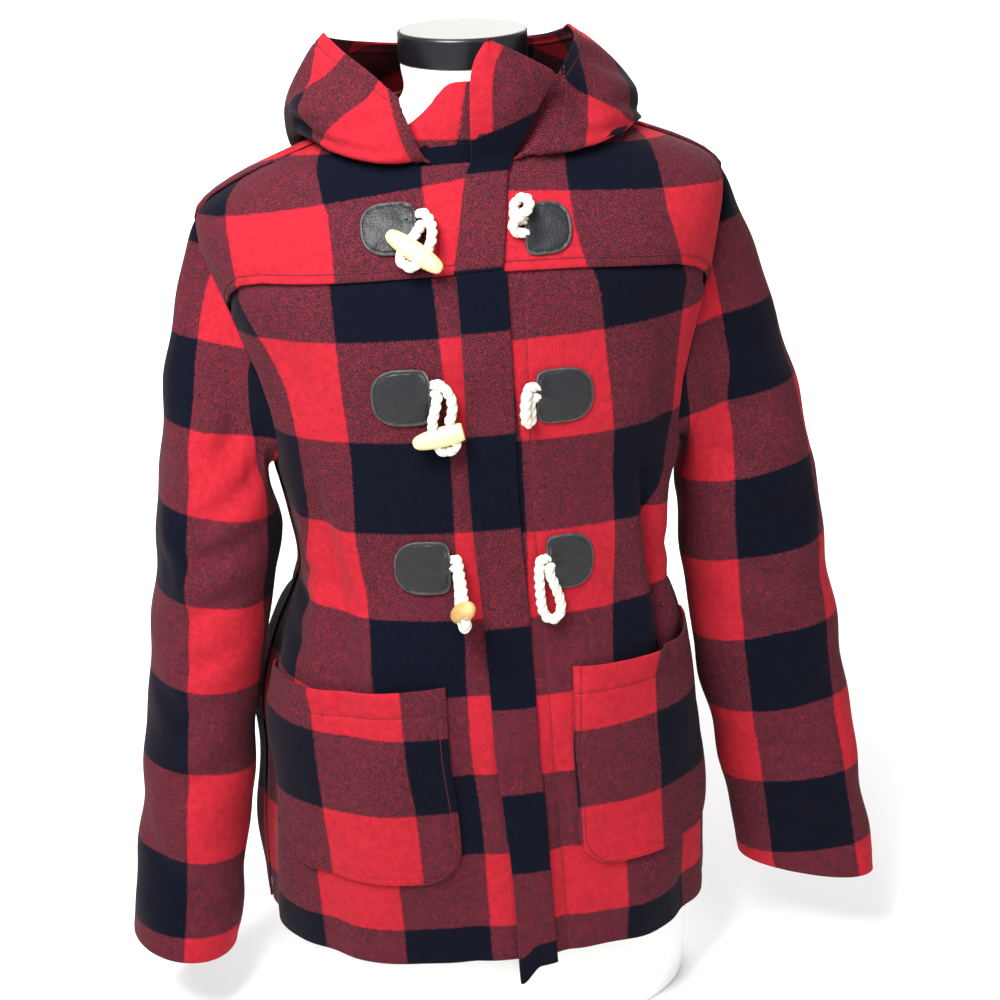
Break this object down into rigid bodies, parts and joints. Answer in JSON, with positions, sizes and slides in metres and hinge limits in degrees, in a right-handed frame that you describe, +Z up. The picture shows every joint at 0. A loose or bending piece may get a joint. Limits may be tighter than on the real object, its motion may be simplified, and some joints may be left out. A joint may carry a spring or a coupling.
{
  "type": "hooded jacket on a dress form",
  "caption": "Hip-length check wool jacket with hood, storm flap, toggles on rope loops, leather tabs and patch pockets, worn by a limbless dress form.",
  "frame": {"origin": "centre of the dress form's flat base, on the surface it stands on", "axes": "+Z up, +X to the wearer's left, the front of the jacket faces -Y"},
  "size_m": [0.6483, 0.3461, 0.833],
  "materials": {
    "check_wool": "brushed wool, red and black check",
    "leather": "grained",
    "wood": "turned and lacquered",
    "rope": "twisted cotton",
    "form_cover": "plain white jersey",
    "cap_plastic": "satin black"
  },
  "bodies": {
    "root": {"back": "check_wool", "front_left": "check_wool", "front_right": "check_wool", "yoke_left": "check_wool", "yoke_right": "check_wool", "sleeve_left": "check_wool", "sleeve_right": "check_wool", "hood_left": "check_wool", "hood_right": "check_wool", "flap_upper": "check_wool", "flap_lower": "check_wool", "neck_guard": "check_wool", "pocket_left": "check_wool", "pocket_right": "check_wool", "patch_right_top": "leather", "patch_right_middle": "leather", "patch_right_bottom": "leather", "patch_left_top": "leather", "patch_left_middle": "leather", "patch_left_bottom": "leather", "toggle_top": "wood", "toggle_middle": "wood", "toggle_bottom": "wood", "rope_toggle_top": "rope", "rope_toggle_middle": "rope", "rope_toggle_bottom": "rope", "loop_top": "rope", "loop_middle": "rope", "loop_bottom": "rope", "dress_form": "form_cover", "neck_cap": "cap_plastic"}
  },
  "joints": []
}
